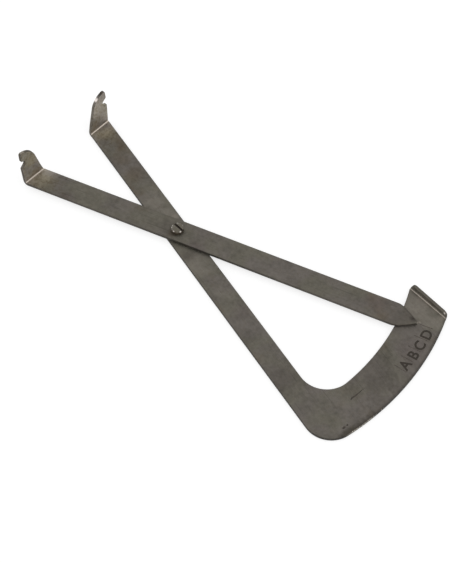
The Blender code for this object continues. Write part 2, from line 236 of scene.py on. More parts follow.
# Stains, worn places, painted shade and painted glints, in millimetres: centre, radius, strength,
# tone, and 1 where it is on cut walls alone, or on the rim of the screw.
SECTOR_STAINS = (
    ((-54.6, 14.4, 1.6), 6.0, 0.55, STEEL_BROWN, 0),
    ((-41.8, 12.4, 1.6), 6.5, 0.62, STEEL_BROWN, 0),
    ((-24.2, 8.9, 1.6), 7.0, 0.60, STEEL_PALE_AND_LIT, 0),
    ((-25.5, 2.0, 1.6), 5.0, 0.60, STEEL_PALE_AND_LIT, 0),
    ((-18.5, 4.0, 1.6), 5.0, 0.90, STEEL_PALE_AND_LIT, 0),
    ((-12.5, 5.0, 1.6), 5.0, 0.95, STEEL_PALE_AND_LIT, 0),
    ((-7.5, 5.8, 1.6), 3.5, 0.90, STEEL_PALE_AND_LIT, 0),
    ((-8.0, 6.2, 1.6), 2.5, 0.25, STEEL_SCRAPED_AND_LIT, 0),
    ((21.5, -9.3, 1.6), 9.0, 0.75, STEEL_PALE_AND_LIT, 0),
    ((41.8, -12.3, 1.6), 6.0, 0.45, STEEL_PALE_AND_LIT, 0),
    ((55.7, -13.3, 1.6), 7.0, 0.60, STEEL_ROSE, 0),
    ((95.9, -30.4, 1.6), 12.0, 0.65, STEEL_DULL, 0),
    ((131.0, 22.0, 1.6), 9.0, 0.55, STEEL_ROSE, 0),
    ((127.0, 1.0, 1.6), 17.0, 0.50, STEEL_DULL, 0),
    ((124.4, -19.3, 1.6), 6.0, 0.45, STEEL_PALE_AND_LIT, 0),
    ((117.4, 44.6, 1.6), 12.0, 0.95, STEEL_PALE_AND_LIT, 0),
    # A scrape by the pointer's tip, painted lighter as a glint on it.
    ((123.2, 37.3, 1.6), 0.9, 1.00, STEEL_SCRAPED_AND_LIT, 0),
    ((124.0, 38.3, 1.6), 0.8, 0.60, STEEL_SCRAPED_AND_LIT, 0),
    ((129.4, 43.4, 1.6), 5.0, 0.75, STEEL_PALE_AND_LIT, 0),
    # Painted shade along the band's rim, darkest a little inside its edge.
    ((134.9, -36.1, 1.6), 2.0, 0.45, STEEL_RIM_SHADE, 0),
    ((135.6, -33.5, 1.6), 2.2, 0.60, STEEL_RIM_SHADE, 0),
    ((136.3, -31.0, 1.6), 2.3, 0.70, STEEL_RIM_SHADE, 0),
    ((136.9, -28.4, 1.6), 2.4, 0.75, STEEL_RIM_SHADE, 0),
    ((137.5, -25.4, 1.6), 2.4, 0.75, STEEL_RIM_SHADE, 0),
    ((138.1, -22.2, 1.6), 2.2, 0.65, STEEL_RIM_SHADE, 0),
    ((138.6, -19.0, 1.6), 2.0, 0.50, STEEL_RIM_SHADE, 0),
    ((139.0, -15.8, 1.6), 1.9, 0.35, STEEL_RIM_SHADE, 0),
    # Painted highlight on the band's outer wall by the chips.
    ((137.9, -28.0, 0.8), 6.0, 1.00, STEEL_PALE_AND_LIT, 1),
    ((139.2, -21.5, 0.8), 6.0, 0.90, STEEL_PALE_AND_LIT, 1),
    # Painted light along the foot of the stop, lifting the shade beside its fold.
    ((130.4, 47.9, 1.6), 2.6, 0.35, STEEL_SCRAPED_AND_LIT, 0),
    ((125.4, 48.4, 1.6), 2.6, 0.35, STEEL_SCRAPED_AND_LIT, 0),
    ((120.4, 48.9, 1.6), 2.6, 0.35, STEEL_SCRAPED_AND_LIT, 0),
    ((115.5, 49.5, 1.6), 2.6, 0.35, STEEL_SCRAPED_AND_LIT, 0),
    ((-71.3, 22.5, 1.6), 7.0, 0.85, STEEL_KHAKI, 0),
    ((-68.0, 16.1, 1.6), 5.0, 0.75, STEEL_PALE_AND_LIT, 0),
    ((13.5, -7.7, 1.6), 5.0, 0.60, STEEL_DULL, 0),
    ((66.4, -25.4, 1.6), 7.0, 0.45, STEEL_DULL, 0),
    ((-78.3, 20.3, 6.0), 3.6, 0.60, STEEL_BROWN, 0),
    ((-79.0, 20.5, 16.5), 8.0, 0.80, STEEL_PALE_AND_LIT, 0),
    # Painted light on the right jaw's cut wall.
    ((-79.05, 15.0, 11.0), 14.0, 0.90, STEEL_PALE_AND_LIT, 1),
    # Painted dark reflection on the wall of the right jaw's crown.
    ((-79.05, 27.2, 24.8), 2.4, 1.00, STEEL_DARK_REFLECTION, 1),
    # Painted glint on the right jaw's crown.
    ((-79.05, 23.6, 22.6), 1.4, 1.00, STEEL_GLINT, 1),
    # Painted glint at the stop's far end.
    ((130.3, 49.4, 3.4), 0.8, 0.60, STEEL_GLINT, 1),
    ((120.5, 50.4, 4.0), 15.0, 0.25, STEEL_PALE_AND_LIT, 0),
    ((120.5, 50.4, 4.4), 16.0, 0.50, STEEL_DULL, 1),
)
POINTER_STAINS = (
    ((-50.0, -17.5, 2.7), 50.0, 1.00, STEEL_DULL, 1),
    ((88.0, 24.0, 2.7), 55.0, 1.00, STEEL_DULL, 1),
    ((-66.9, -19.5, 3.5), 5.0, 0.15, STEEL_BROWN, 0),
    ((-74.5, -23.0, 3.5), 8.0, 0.65, STEEL_KHAKI, 0),
    # Painted contact shadow beside the screw's head.
    ((-0.5, -2.9, 3.5), 3.2, 0.85, STEEL_CONTACT_SHADE, 0),
    ((-46.9, -10.4, 3.5), 7.0, 0.40, STEEL_OLIVE, 0),
    ((-56.8, -22.2, 3.5), 4.0, 0.50, STEEL_ROSE, 0),
    ((-4.3, -1.0, 3.5), 7.0, 0.45, STEEL_DULL, 0),
    ((14.2, -1.2, 3.5), 7.0, 0.70, STEEL_ROSE, 0),
    ((22.4, 9.3, 3.5), 5.0, 0.40, STEEL_OLIVE, 0),
    ((103.0, 32.5, 3.5), 7.0, 0.60, STEEL_ROSE, 0),
    ((109.5, 33.3, 3.5), 5.0, 0.45, STEEL_DULL, 0),
    ((118.0, 36.0, 3.5), 9.0, 0.70, STEEL_DULL, 0),
    # Painted dark reflection on the ground facet of the point.
    ((121.0, 37.0, 3.3), 2.4, 0.75, STEEL_FACET_REFLECTION, 0),
    ((-79.0, -23.9, 18.0), 6.0, 0.80, STEEL_KHAKI, 0),
    ((-79.0, -22.9, 5.9), 4.0, 0.55, STEEL_BROWN, 0),
    ((120.5, 32.5, 2.6), 7.0, 0.80, STEEL_GROUND, 1),
    # Painted glint at the point's tip.
    ((124.2, 36.8, 2.6), 1.0, 1.00, STEEL_HIGHLIGHT, 1),
)
SCREW_STAINS = (
    # Painted shade on the lower rim of the head; the rest are painted glints on its rim.
    ((0.2, -3.0, 5.4), 1.7, 0.75, STEEL_CONTACT_SHADE, 1),
    ((0.1, -2.8, 5.4), 0.6, 0.45, STEEL_HIGHLIGHT, 1),
    ((-1.4, -2.5, 5.4), 0.5, 0.20, STEEL_HIGHLIGHT, 1),
    ((-2.3, -1.7, 5.4), 0.5, 0.55, STEEL_HIGHLIGHT, 1),
    ((-2.8, -0.6, 5.4), 0.5, 0.55, STEEL_HIGHLIGHT, 1),
    ((-2.8, 0.6, 5.4), 0.5, 0.45, STEEL_HIGHLIGHT, 1),
    ((-1.9, 2.2, 5.6), 0.5, 0.45, STEEL_HIGHLIGHT, 1),
    ((1.1, 3.0, 5.5), 0.5, 0.30, STEEL_HIGHLIGHT, 1),
    ((2.9, -0.9, 5.4), 0.6, 0.80, STEEL_HIGHLIGHT, 1),
)


def direction(azimuth, elevation):
    """The unit vector at an azimuth from +X and a height above the horizon, in degrees."""
    turn = math.radians(azimuth)
    rise = math.radians(elevation)
    return Vector((math.cos(turn) * math.cos(rise), math.sin(turn) * math.cos(rise), math.sin(rise)))


def polar(radius, degrees):
    """The level point at a radius and an angle about the pivot."""
    turn = math.radians(degrees)
    return Vector((radius * math.cos(turn), radius * math.sin(turn)))


def left_of(way):
    """The level way a quarter turn to the left of a level way."""
    return Vector((-way.y, way.x))


class Tree:
    """Adds nodes to a node tree and links them up."""

    def __init__(self, tree):
        self.tree = tree
        self.nodes = tree.nodes

    def feed(self, value, socket):
        """Links a node's output to an input, or sets the input to a plain value."""
        if isinstance(value, bpy.types.NodeSocket):
            self.tree.links.new(value, socket)
        else:
            socket.default_value = value

    def fill(self, node, inputs):
        """Feeds the inputs of a node, by name or number."""
        for name, value in inputs.items():
            self.feed(value, node.inputs[name])

    def add(self, kind, inputs=None, **settings):
        """A new node, with its settings and inputs."""
        node = self.nodes.new(kind)
        for name, value in settings.items():
            setattr(node, name, value)
        self.fill(node, inputs or {})
        return node

    def use(self, group, inputs):
        """The outputs of a node group, placed with these inputs."""
        return self.add("ShaderNodeGroup", inputs, node_tree=group).outputs

    def math(self, operation, first, second=0.0, third=0.0):
        """One sum on numbers."""
        return self.add("ShaderNodeMath", {0: first, 1: second, 2: third}, operation=operation).outputs[0]

    def vector(self, operation, inputs, output="Vector"):
        """One sum on vectors."""
        return self.add("ShaderNodeVectorMath", inputs, operation=operation).outputs[output]

    def joined(self, first, second, third):
        """A vector of three numbers."""
        return self.add("ShaderNodeCombineXYZ", {0: first, 1: second, 2: third}).outputs[0]

    def ramp(self, value, low, high, start=0.0, end=1.0):
        """A smooth step from start to end as the value goes from low to high."""
        inputs = {"Value": value, "From Min": low, "From Max": high, "To Min": start, "To Max": end}
        return self.add("ShaderNodeMapRange", inputs, interpolation_type="SMOOTHSTEP").outputs["Result"]

    def noise(self, position, scale, detail, roughness):
        """Soft cloud-like noise about one half."""
        inputs = {"Vector": position, "Scale": scale, "Detail": detail, "Roughness": roughness}
        return self.add("ShaderNodeTexNoise", inputs).outputs["Fac"]

    def place(self):
        """The position on the piece."""
        return self.add("ShaderNodeTexCoord").outputs["Object"]

    def placed(self, position, shift=(0, 0, 0), turn=0.0):
        """The position moved, and turned about Z by degrees, for a pattern."""
        inputs = {"Vector": position, "Location": shift, "Rotation": (0, 0, math.radians(turn))}
        return self.add("ShaderNodeMapping", inputs).outputs["Vector"]

    def from_pivot(self, position):
        """The level distance of a position from the pivot's axis."""
        level = self.vector("MULTIPLY", {0: position, 1: (1, 1, 0)})
        return self.vector("LENGTH", {0: level}, "Value")

    def mask(self, name):
        """A mask that finish_surface has left on the piece."""
        return self.add("ShaderNodeAttribute", attribute_name=name).outputs["Fac"]

    def scaled(self, tone, level):
        """A colour made darker or lighter by a factor."""
        return self.vector("SCALE", {0: tone, "Scale": level})

    def varied(self, tone, pattern, strength):
        """A colour made lighter where a pattern is above nought, and darker where it is below."""
        return self.scaled(tone, self.math("MULTIPLY_ADD", pattern, strength, 1.0))

    def mix(self, factor, first, second):
        """A blend of two colours."""
        inputs = {0: factor, 6: first, 7: second}
        return self.add("ShaderNodeMix", inputs, data_type="RGBA", clamp_factor=True).outputs[2]

    def bump(self, height, strength, distance):
        """The surface's normals, tilted by a pattern of heights."""
        inputs = {"Height": height, "Strength": strength, "Distance": distance}
        return self.add("ShaderNodeBump", inputs).outputs["Normal"]

    def seen(self):
        """1 for what the camera sees, itself or in polished metal or glass, and 0 for other light."""
        rays = self.add("ShaderNodeLightPath").outputs
        through = self.math("MAXIMUM", rays["Is Glossy Ray"], rays["Is Transmission Ray"])
        return self.math("MAXIMUM", rays["Is Camera Ray"], through)


def new_group(name, kind, inputs, outputs):
    """An empty node group with these named sockets: its tree, its inputs and its outputs."""
    group = bpy.data.node_groups.new(name, kind)
    for label, socket_type, default in inputs:
        socket = group.interface.new_socket(label, in_out="INPUT", socket_type=socket_type)
        if default is not None:
            socket.default_value = default
    for label, socket_type in outputs:
        group.interface.new_socket(label, in_out="OUTPUT", socket_type=socket_type)
    tree = Tree(group)
    return tree, tree.add("NodeGroupInput").outputs, tree.add("NodeGroupOutput").inputs


def mottle_group():
    """Cloudy stains in a worked steel surface, small flecks, and fine mottling about nought."""
    tree, given, out = new_group("mottled_steel", "ShaderNodeTree", [
        ("Position", "NodeSocketVector", None),
        ("Clean", "NodeSocketColor", STEEL_GREY),
        ("Olive", "NodeSocketColor", STEEL_OLIVE),
        ("Brown", "NodeSocketColor", STEEL_BROWN),
        ("Cloud Scale", "NodeSocketFloat", 55.0),
        ("Brown Share", "NodeSocketFloat", 0.5),
    ], [("Color", "NodeSocketColor"), ("Flecks", "NodeSocketFloat"), ("Mottle", "NodeSocketFloat")])
    place = given["Position"]
    scale = given["Cloud Scale"]
    cloud = tree.noise(place, scale, detail=2.0, roughness=0.5)
    tone = tree.mix(tree.ramp(cloud, 0.40, 0.62), given["Clean"], given["Olive"])
    stains = tree.noise(tree.placed(place, shift=(0.31, 0.17, 0.0)), scale, detail=3.0, roughness=0.55)
    edge = tree.math("SUBTRACT", 1.0, given["Brown Share"])
    start = tree.math("MULTIPLY", edge, 0.9)
    full = tree.math("MULTIPLY_ADD", edge, 0.9, 0.26)
    tree.feed(tree.mix(tree.ramp(stains, start, full), tone, given["Brown"]), out["Color"])
    flecks = tree.noise(place, 700.0, detail=2.0, roughness=0.6)
    tree.feed(tree.ramp(flecks, 0.48, 0.62), out["Flecks"])
    fine = tree.noise(place, 520.0, detail=3.0, roughness=0.55)
    coarse = tree.noise(place, 150.0, detail=3.0, roughness=0.5)
    both = tree.math("ADD", tree.math("SUBTRACT", fine, 0.5), tree.math("SUBTRACT", coarse, 0.5))
    tree.feed(both, out["Mottle"])
    return tree.tree


def grain_group():
    """Fine brush lines along an arm, with a few deeper ones."""
    tree, given, out = new_group("brushed_grain", "ShaderNodeTree", [
        ("Position", "NodeSocketVector", None),
        ("Lines", "NodeSocketFloat", 5200.0),
        ("Length", "NodeSocketFloat", 0.035),
    ], [("Grain", "NodeSocketFloat")])
    drawn = tree.vector("MULTIPLY", {0: given["Position"], 1: tree.joined(given["Length"], 1.0, 1.0)})
    lines = tree.noise(drawn, given["Lines"], detail=3.0, roughness=0.6)
    deep = tree.noise(drawn, tree.math("MULTIPLY", given["Lines"], 0.22), detail=2.0, roughness=0.5)
    cuts = tree.ramp(deep, 0.62, 0.72, 0.0, -0.6)
    tree.feed(tree.math("ADD", tree.math("SUBTRACT", lines, 0.5), cuts), out["Grain"])
    return tree.tree


def patch_group():
    """A ragged round patch on the surface, 1 in its middle and 0 outside."""
    tree, given, out = new_group("ragged_patch", "ShaderNodeTree", [
        ("Position", "NodeSocketVector", None),
        ("Centre", "NodeSocketVector", (0, 0, 0)),
        ("Radius", "NodeSocketFloat", 0.01),
        ("Raggedness", "NodeSocketFloat", 0.5),
    ], [("Mask", "NodeSocketFloat")])
    span = tree.vector("DISTANCE", {0: given["Position"], 1: given["Centre"]}, "Value")
    ragged = tree.noise(given["Position"], 130.0, detail=4.0, roughness=0.6)
    swing = tree.math("MULTIPLY", given["Raggedness"], 3.0)
    swing = tree.math("MULTIPLY", tree.math("SUBTRACT", ragged, 0.5), swing)
    reach = tree.math("ADD", tree.math("DIVIDE", span, given["Radius"]), swing)
    tree.feed(tree.ramp(reach, *STAIN_EDGE, 1.0, 0.0), out["Mask"])
    return tree.tree


def stained(tree, tone, place, wall, stains, patch):
    """The tone with its placed stains, painted shade and painted glints, each on the sheet's broad sides or
    on its cut walls alone.
    """
    side = tree.math("SUBTRACT", 1.0, wall)
    for centre, radius, strength, colour, on_wall in stains:
        inputs = {"Position": place, "Centre": Vector(centre) * MM, "Radius": radius * MM}
        spot = tree.math("MULTIPLY", tree.use(patch, inputs)["Mask"], wall if on_wall else side)
        tone = tree.mix(tree.math("MULTIPLY", spot, strength), tone, colour)
    return tone


def new_material(name):
    """A new material and its tree."""
    material = bpy.data.materials.new(name)
    material.use_nodes = True
    return material, Tree(material.node_tree)


def steel_material(name, grain_turn, shift, brown_share, stains, groups):
    """The worn steel of one arm: mottled, brushed along the arm, with painted shade on its edges, painted
    light by the jaws and a painted highlight in its folds.
    """
    mottle, grain, patch = groups
    material, tree = new_material(name)
    place = tree.place()
    along = tree.add("ShaderNodeSeparateXYZ", {0: place}).outputs[0]
    clouds = tree.use(mottle, {"Position": tree.placed(place, shift=shift), "Brown Share": brown_share})
    lines = tree.use(grain, {"Position": tree.placed(place, turn=grain_turn)})["Grain"]
    edge = tree.mask("edge")
    shine = tree.ramp(tree.mask("fold"), SHINE_FROM, SHINE_TO)

    # Painted shade on cut walls, then on the rim of the band.
    tone = tree.mix(edge, clouds["Color"], tree.scaled(clouds["Color"], WALL_SHADE))
    tone = tree.scaled(tone, tree.ramp(tree.from_pivot(place), RIM_FROM, RIM_TO, 1.0, RIM_SHADE))
    tone = stained(tree, tone, place, tree.math("GREATER_THAN", edge, WALL_FROM), stains, patch)
    flecks = tree.ramp(along, FLECKS_TO, FLECKS_FROM, FLECKS_THICK, FLECKS)
    tone = tree.mix(tree.math("MULTIPLY", clouds["Flecks"], flecks), tone, STEEL_FLECK)
    tone = tree.varied(tone, clouds["Mottle"], MOTTLING)
    tone = tree.varied(tone, lines, BRUSHING)
    # Painted light on the jaws' inner faces and beside their bends.
    jaw_light = tree.math("MULTIPLY", tree.mask("inner"), tree.ramp(along, JAW_LIGHT_TO, JAW_LIGHT_FROM, 1.0, 0.0))
    tone = tree.varied(tone, jaw_light, JAW_LIGHT_GAIN)

    rough = tree.math("MULTIPLY_ADD", clouds["Mottle"], ROUGH_MOTTLING, ROUGHNESS)
    rough = tree.math("MULTIPLY_ADD", lines, ROUGH_BRUSHING, rough)
    rough = tree.math("MULTIPLY_ADD", edge, -POLISH, rough)
    rough = tree.math("MULTIPLY_ADD", shine, -POLISH, rough)
    rough = tree.math("MINIMUM", tree.math("MAXIMUM", rough, ROUGH_LEAST), ROUGH_MOST)
    metallic = tree.ramp(shine, 0.0, 1.0, *METALLIC)
    height = tree.math("MULTIPLY_ADD", lines, LINE_DEPTH, clouds["Mottle"])
    # The folds take the painted highlight as their base colour.
    tree.fill(tree.nodes["Principled BSDF"], {
        "Base Color": tree.mix(shine, tone, FOLD_HIGHLIGHT),
        "Roughness": rough,
        "Metallic": tree.math("MULTIPLY_ADD", edge, -WALL_METALLIC_LOSS, metallic),
        "Normal": tree.bump(height, BUMP_STRENGTH, BUMP_HEIGHT),
        "Specular IOR Level": SPECULAR_LEVEL,
        "Specular Tint": EDGE_TINT,
    })
    return material


def screw_material(groups):
    """The turned and lightly polished steel of the screw, with painted shade round the side of its head."""
    mottle, _, patch = groups
    material, tree = new_material("turned_screw_steel")
    place = tree.place()
    inputs = {"Position": place, "Clean": SCREW_TONE, "Cloud Scale": 320.0, "Brown Share": 0.35}
    clouds = tree.use(mottle, inputs)
    radius = tree.from_pivot(place)
    height = tree.add("ShaderNodeSeparateXYZ", {0: place}).outputs[2]
    rim = tree.math("MULTIPLY", tree.ramp(radius, *SCREW_RIM_RADII), tree.ramp(height, *SCREW_RIM_HEIGHTS))
    side = tree.ramp(height, SIDE_FROM, SIDE_TO, 1.0, 0.0)
    # Painted shade on the side of the head.
    tone = tree.mix(side, clouds["Color"], STEEL_CONTACT_SHADE)
    tone = stained(tree, tone, place, rim, SCREW_STAINS, patch)
    rings = tree.math("SINE", tree.math("MULTIPLY", radius, 2 * math.pi / RING_SPACING))
    tree.fill(tree.nodes["Principled BSDF"], {
        "Base Color": tree.varied(tone, clouds["Mottle"], MOTTLING),
        "Roughness": tree.math("MULTIPLY_ADD", clouds["Mottle"], 0.35, 0.34),
        "Metallic": tree.ramp(side, 0.0, 1.0, 1.0, SIDE_METALLIC),
        "Normal": tree.bump(rings, RING_STRENGTH, RING_HEIGHT),
    })
    return material


def mark_material(name, tone, roughness, metallic, grain):
    """The speckled bottom of a cut: dark oxide in a mark, painted shade in the slot, or bare metal in a
    chip.
    """
    material, tree = new_material(name)
    speckle = tree.noise(tree.place(), grain, detail=4.0, roughness=0.65)
    tree.fill(tree.nodes["Principled BSDF"], {
        "Base Color": tree.scaled(tone, tree.ramp(speckle, 0.30, 0.70, 0.55, 1.45)),
        "Roughness": tree.math("MULTIPLY_ADD", speckle, 0.3, roughness - 0.15),
        "Metallic": metallic,
    })
    return material


def ring_points(tree, count, radius, angle, level):
    """Points round the pivot, one for each mark, each at its own radius, angle and level."""
    across = tree.math("MULTIPLY", tree.math("COSINE", angle), radius)
    along = tree.math("MULTIPLY", tree.math("SINE", angle), radius)
    line = tree.add("GeometryNodeMeshLine", {"Count": count, "Offset": (0, 0, 0)}).outputs[0]
    inputs = {"Geometry": line, "Position": tree.joined(across, along, level)}
    return tree.add("GeometryNodeSetPosition", inputs).outputs[0]


def finish_tree(tree, instances, material, out):
    """Ends a geometry tree: a form on each point, as real meshes with their material."""
    laid = tree.add("GeometryNodeInstanceOnPoints", instances).outputs[0]
    real = tree.add("GeometryNodeRealizeInstances", {"Geometry": laid}).outputs[0]
    done = tree.add("GeometryNodeSetMaterial", {"Geometry": real, "Material": material}).outputs[0]
    tree.feed(done, out["Geometry"])


def tick_tree(material):
    """Scribed lines on radii of the scale: each is a bar on edge, half sunk in the surface."""
    tree, given, out = new_group("scale_ticks", "GeometryNodeTree", [
        ("Count", "NodeSocketInt", TICK_COUNT),
        ("First", "NodeSocketFloat", TICK_FIRST),
        ("Step", "NodeSocketFloat", TICK_STEP),
        ("Growth", "NodeSocketFloat", TICK_GROWTH),
        ("Inner Radius", "NodeSocketFloat", TICK_INNER),
        ("Outer Radius", "NodeSocketFloat", TICK_OUTER),
        ("Width", "NodeSocketFloat", TICK_WIDTH),
        ("Level", "NodeSocketFloat", SHEET),
    ], [("Geometry", "NodeSocketGeometry")])
    index = tree.add("GeometryNodeInputIndex").outputs[0]
    degrees = tree.math("MULTIPLY_ADD", index, given["Step"], given["First"])
    degrees = tree.math("MULTIPLY_ADD", tree.math("MULTIPLY", index, index), given["Growth"], degrees)
    angle = tree.math("RADIANS", degrees)
    middle = tree.math("MULTIPLY", tree.math("ADD", given["Inner Radius"], given["Outer Radius"]), 0.5)
    length = tree.math("SUBTRACT", given["Outer Radius"], given["Inner Radius"])
    side = tree.math("DIVIDE", given["Width"], math.sqrt(2))
    finish_tree(tree, {
        "Points": ring_points(tree, given["Count"], middle, angle, given["Level"]),
        "Instance": tree.add("GeometryNodeMeshCube", {"Size": tree.joined(length, side, side)}).outputs[0],
        "Rotation": tree.joined(math.pi / 4, 0.0, angle),
    }, material, out)
    return tree.tree


def chip_tree(material):
    """Small chips knocked out along the rim of the scale band."""
    tree, given, out = new_group("rim_chips", "GeometryNodeTree", [
        ("Count", "NodeSocketInt", CHIP_COUNT),
        ("From", "NodeSocketFloat", CHIP_FROM),
        ("To", "NodeSocketFloat", CHIP_TO),
        ("Radius", "NodeSocketFloat", BAND_RADIUS),
        ("Smallest", "NodeSocketFloat", CHIP_SMALLEST),
        ("Largest", "NodeSocketFloat", CHIP_LARGEST),
        ("Level", "NodeSocketFloat", SHEET),
        ("Seed", "NodeSocketInt", CHIP_SEED),
    ], [("Geometry", "NodeSocketGeometry")])

    def random(low, high, step, kind="FLOAT"):
        """A random value for each chip; step keeps it apart from the other random values."""
        node = tree.add("FunctionNodeRandomValue", data_type=kind)
        pair = [socket for socket in node.inputs if socket.enabled and socket.name in ("Min", "Max")]
        for socket, value in zip(pair, (low, high)):
            tree.feed(value, socket)
        tree.feed(tree.math("ADD", given["Seed"], step), node.inputs["Seed"])
        return next(socket for socket in node.outputs if socket.enabled)

    angle = tree.math("RADIANS", random(given["From"], given["To"], 1))
    reach = tree.math("ADD", given["Radius"], random(*CHIP_REACH, 2))
    level = tree.math("SUBTRACT", given["Level"], random(*CHIP_DROP, 3))
    turn = random((0, 0, 0), CHIP_TURNS, 4, "FLOAT_VECTOR")
    smallest = tree.joined(given["Smallest"], given["Smallest"], given["Smallest"])
    largest = tree.joined(given["Largest"], given["Largest"], given["Largest"])
    finish_tree(tree, {
        "Points": ring_points(tree, given["Count"], reach, angle, level),
        "Instance": tree.add("GeometryNodeMeshIcoSphere", {"Radius": 1.0, "Subdivisions": 2}).outputs[0],
        "Rotation": turn,
        "Scale": random(smallest, largest, 5, "FLOAT_VECTOR"),
    }, material, out)
    return tree.tree


def new_object(name, data):
    """A mesh, text, lamp or camera as an object in the scene."""
    item = bpy.data.objects.new(name, data)
    bpy.context.scene.collection.objects.link(item)
    return item


def body_object(name, body, material):
    """A finished bmesh as an object with one material."""
    mesh = bpy.data.meshes.new(name)
    body.to_mesh(mesh)
    body.free()
    mesh.materials.append(material)
    return new_object(name, mesh)


def closed_object(name, body, material):
    """A closed bmesh as an object, its faces turned outwards first."""
    bmesh.ops.recalc_face_normals(body, faces=body.faces[:])
    return body_object(name, body, material)


def settled(item):
    """The object's mesh with its modifiers worked in."""
    bpy.context.view_layer.update()
    graph = bpy.context.evaluated_depsgraph_get()
    final = item.evaluated_get(graph)
    return bpy.data.meshes.new_from_object(final, preserve_all_data_layers=True, depsgraph=graph)


def grown(name, tree, material):
    """The plain mesh object that a geometry tree makes."""
    item = new_object(name, bpy.data.meshes.new(name))
    modifier = item.modifiers.new(name, "NODES")
    modifier.node_group = tree
    for socket in tree.interface.items_tree:
        if socket.in_out == "INPUT":
            modifier[socket.identifier] = socket.default_value
    mesh = settled(item)
    item.modifiers.remove(modifier)
    item.data = mesh
    mesh.materials.clear()
    mesh.materials.append(material)
    return item


def set_down(spot, degrees, size):
    """The matrix that sizes a form, turns it about Z and sets it down on the sector arm."""
    place = Matrix.Translation((spot.x, spot.y, SHEET))
    place @= Matrix.Rotation(math.radians(degrees), 4, "Z")
    place @= Matrix.Diagonal((*size, 1))
    return place


def letter_bodies(material):
    """The four letters as closed bodies, sunk into the band to the depth of the engraving."""
    body = bmesh.new()
    for letter, degrees, radius in LETTERS:
        text = bpy.data.curves.new("letter_" + letter, "FONT")
        text.body = letter
        text.size = 1.0
        text.align_x = "CENTER"
        text.resolution_u = 8
        text.extrude = 0.5
        text.offset = LETTER_WEIGHT
        item = new_object(text.name, text)
        mesh = settled(item)
        bpy.data.objects.remove(item)
        low = min(vert.co.y for vert in mesh.vertices)
        tall = max(vert.co.y for vert in mesh.vertices) - low
        size = LETTER_HEIGHT / tall
        place = set_down(polar(radius, degrees), degrees + 90, (size, size, 2 * LETTER_DEPTH))
        place @= Matrix.Translation((0, -low - tall / 2, 0))
        mesh.transform(place)
        body.from_mesh(mesh)
        bpy.data.meshes.remove(mesh)
    bmesh.ops.remove_doubles(body, verts=body.verts[:], dist=1e-7)
    return closed_object("letter_cutter", body, material)


def scratch_body(material):
    """A long gouge with a deep end that thins out, as a keel that cuts it."""
    body = bmesh.new()
    widest = max(width for point, width in SCRATCH)
    high = SHEET + SCRATCH_DEPTH
    rings = []
    for index, (point, width) in enumerate(SCRATCH):
        before = SCRATCH[max(index - 1, 0)][0]
        after = SCRATCH[min(index + 1, len(SCRATCH) - 1)][0]
        side = left_of((after - before).normalized()) * width / 2
        depth = SCRATCH_DEPTH * width / widest
        rings.append([
            body.verts.new((*(point - side * 2), high)),
            body.verts.new((*point, SHEET - depth)),
            body.verts.new((*(point + side * 2), high)),
        ])
    for first, second in zip(rings, rings[1:]):
        for corner in range(3):
            following = (corner + 1) % 3
            body.faces.new((first[corner], first[following], second[following], second[corner]))
    body.faces.new(rings[0][::-1])
    body.faces.new(rings[-1])
    return closed_object("scratch_cutter", body, material)


def dent_bodies(material):
    """Shallow dents, each the cap of a flattened ball."""
    body = bmesh.new()
    for centre, long, short, degrees in DENTS:
        place = set_down(centre, degrees, (long, short, DENT_DEPTH))
        bmesh.ops.create_icosphere(body, subdivisions=3, radius=1, matrix=place)
    return body_object("dent_cutter", body, material)


def merged_copy(node, name, material):
    """A closed copy of a CAD node's mesh, its flat faces whole again."""
    body = bmesh.new()
    body.from_mesh(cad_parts[node].data)
    bmesh.ops.remove_doubles(body, verts=body.verts[:], dist=1e-6)
    bmesh.ops.dissolve_limit(body, angle_limit=math.radians(0.2), verts=body.verts[:], edges=body.edges[:])
    return body_object(name, body, material)


def cut(item, *cutters):
    """Cuts bodies out of an object; the cut faces take the cutter's material. The cutters are removed."""
    for cutter in cutters:
        modifier = item.modifiers.new(cutter.name, "BOOLEAN")
        modifier.operation = "DIFFERENCE"
        modifier.solver = "EXACT"
        modifier.use_self = True
        modifier.material_mode = "TRANSFER"
        modifier.object = cutter
    mesh = settled(item)
    item.modifiers.clear()
    item.data = mesh
    for cutter in cutters:
        bpy.data.objects.remove(cutter)


def sheet_way(place, folds):
    """The part of the sheet at a point, and a way that tells its broad sides from its walls.

    The way is up on the flat, level on a part bent up, and along the fold in a bend.
    """
    for fold in folds:
        outward = polar(1, fold.degrees)
        if (place.to_2d() - fold.middle).dot(outward) > PAST_FOLD:
            if place.z > fold.level + SHEET + BEND_RADIUS:
                return "tab", outward.to_3d()
            return "bend", left_of(outward).to_3d()
    return "flat", Vector((0, 0, 1))


def wall_shade_share(face, folds):
    """How much painted shade a face takes as a cut wall or a rounded edge of the sheet, and 0 on the broad
    sides.
    """
    part, way = sheet_way(face.center, folds)
    slant = abs(face.normal.dot(way))
    if part == "bend":
        broad = slant <= BEND_WALL_SLANT
    else:
        ground = part == "flat" and FACET_SLANT[0] < slant < FACET_SLANT[1]
        broad = ground or slant > BROAD_SLANT
    return 0.0 if broad else WALL_SHADE_SHARES[part]


